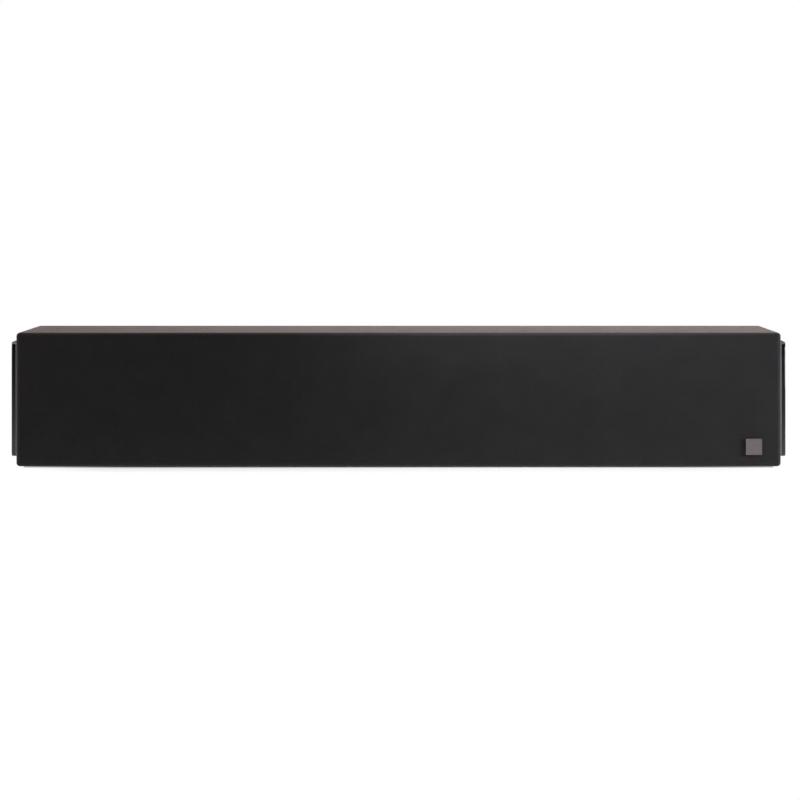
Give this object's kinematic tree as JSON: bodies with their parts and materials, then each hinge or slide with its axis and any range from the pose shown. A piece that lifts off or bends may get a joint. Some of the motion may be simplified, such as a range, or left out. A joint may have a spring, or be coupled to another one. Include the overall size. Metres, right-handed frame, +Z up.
{
  "type": "center channel speaker",
  "caption": "Long low centre channel speaker in black stretched grille cloth, with gloss black end panels on satin carriers and a small square metal plate on the front.",
  "frame": {"origin": "On the floor under the middle of the speaker.", "axes": "+X runs along the speaker to the right of the listener's view, +Y to the back, +Z up."},
  "size_m": [0.8482, 0.2192, 0.147],
  "materials": {
    "grille_cloth": "black stretched grille cloth",
    "gloss_black": "gloss black moulding",
    "satin_trim": "satin grey moulding",
    "badge_metal": "satin aluminium plate",
    "board_mdf": "raw medium density fibreboard",
    "rear_black": "fibreboard with a black textured coat",
    "black_plastic": "black moulded plastic",
    "rubber": "black rubber",
    "basket_alloy": "black coated pressed metal",
    "motor_steel": "zinc plated steel",
    "ferrite": "dark grey ferrite",
    "cone_poly": "dark moulded polymer",
    "spider_cloth": "treated cotton cloth",
    "coil_copper": "copper winding on its former",
    "dome_metal": "bare aluminium dome",
    "post_gold": "gold plated brass",
    "nut_red": "red moulded plastic",
    "nut_black": "black moulded plastic",
    "screw_black": "black coated steel",
    "circuit_board": "green glass epoxy",
    "capacitor_film": "yellow film wrap",
    "nylon": "natural nylon",
    "lead_jacket": "black lead jacket",
    "wadding": "white polyester wadding"
  },
  "bodies": {
    "cabinet": {"grille_cloth": "grille_cloth", "grille_frame": "black_plastic", "front_baffle": "board_mdf", "top_panel": "board_mdf", "bottom_panel": "board_mdf", "end_board_left": "board_mdf", "end_board_right": "board_mdf", "brace_left": "board_mdf", "brace_right": "board_mdf", "rear_battens": "board_mdf", "rear_panel": "rear_black", "badge": "badge_metal", "end_carrier_left": "satin_trim", "end_carrier_right": "satin_trim", "end_panel_left": "gloss_black", "end_panel_right": "gloss_black", "end_carrier_screws": "screw_black", "rubber_feet": "rubber", "tweeter_faceplate": "black_plastic", "tweeter_surround": "rubber", "tweeter_top_plate": "motor_steel", "tweeter_magnet": "ferrite", "tweeter_yoke": "motor_steel", "driver_screws": "screw_black", "rear_screws": "screw_black", "terminal_cup": "black_plastic", "binding_post_red": "post_gold", "binding_post_black": "post_gold", "lock_nuts": "post_gold", "crossover_board": "circuit_board", "crossover_standoffs": "nylon", "crossover_inductors": "coil_copper", "crossover_capacitors": "capacitor_film", "internal_leads": "lead_jacket", "damping_pads": "wadding", "woofer_basket_left": "basket_alloy", "woofer_surround_left": "rubber", "woofer_spider_left": "spider_cloth", "woofer_top_plate_left": "motor_steel", "woofer_magnet_left": "ferrite", "woofer_yoke_left": "motor_steel", "radiator_frame_left": "black_plastic", "radiator_surround_left": "rubber", "woofer_basket_right": "basket_alloy", "woofer_surround_right": "rubber", "woofer_spider_right": "spider_cloth", "woofer_top_plate_right": "motor_steel", "woofer_magnet_right": "ferrite", "woofer_yoke_right": "motor_steel", "radiator_frame_right": "black_plastic", "radiator_surround_right": "rubber"},
    "woofer_moving_left": {"woofer_cone_left": "cone_poly", "woofer_voice_coil_left": "coil_copper"},
    "woofer_moving_right": {"woofer_cone_right": "cone_poly", "woofer_voice_coil_right": "coil_copper"},
    "radiator_moving_left": {"radiator_cone_left": "cone_poly"},
    "radiator_moving_right": {"radiator_cone_right": "cone_poly"},
    "tweeter_moving": {"tweeter_dome": "dome_metal"},
    "binding_nut_red": {"binding_nut_red": "nut_red"},
    "binding_nut_black": {"binding_nut_black": "nut_black"}
  },
  "joints": [
    {"name": "woofer_excursion_left", "type": "slide", "parent": "cabinet", "child": "woofer_moving_left", "axis": [0, -1, 0], "range_m": [-0.005, 0.005], "stiffness_N_per_m": 1000, "deforming": ["woofer_surround_left", "woofer_spider_left"]},
    {"name": "radiator_excursion_left", "type": "slide", "parent": "cabinet", "child": "radiator_moving_left", "axis": [0, -1, 0], "range_m": [-0.006, 0.006], "stiffness_N_per_m": 700, "deforming": ["radiator_surround_left"]},
    {"name": "woofer_excursion_right", "type": "slide", "parent": "cabinet", "child": "woofer_moving_right", "axis": [0, -1, 0], "range_m": [-0.005, 0.005], "stiffness_N_per_m": 1000, "deforming": ["woofer_surround_right", "woofer_spider_right"]},
    {"name": "radiator_excursion_right", "type": "slide", "parent": "cabinet", "child": "radiator_moving_right", "axis": [0, -1, 0], "range_m": [-0.006, 0.006], "stiffness_N_per_m": 700, "deforming": ["radiator_surround_right"]},
    {"name": "tweeter_excursion", "type": "slide", "parent": "cabinet", "child": "tweeter_moving", "axis": [0, -1, 0], "range_m": [-0.0004, 0.0004], "stiffness_N_per_m": 1500, "deforming": ["tweeter_surround"]},
    {"name": "binding_nut_turn_red", "type": "hinge", "parent": "cabinet", "child": "binding_nut_red", "pos_m": [-0.00953, 0.0942, 0.0738], "axis": [0, 1, 0], "range_deg": [0, 1080]},
    {"name": "binding_nut_turn_black", "type": "hinge", "parent": "cabinet", "child": "binding_nut_black", "pos_m": [0.00953, 0.0942, 0.0738], "axis": [0, 1, 0], "range_deg": [0, 1080]}
  ]
}
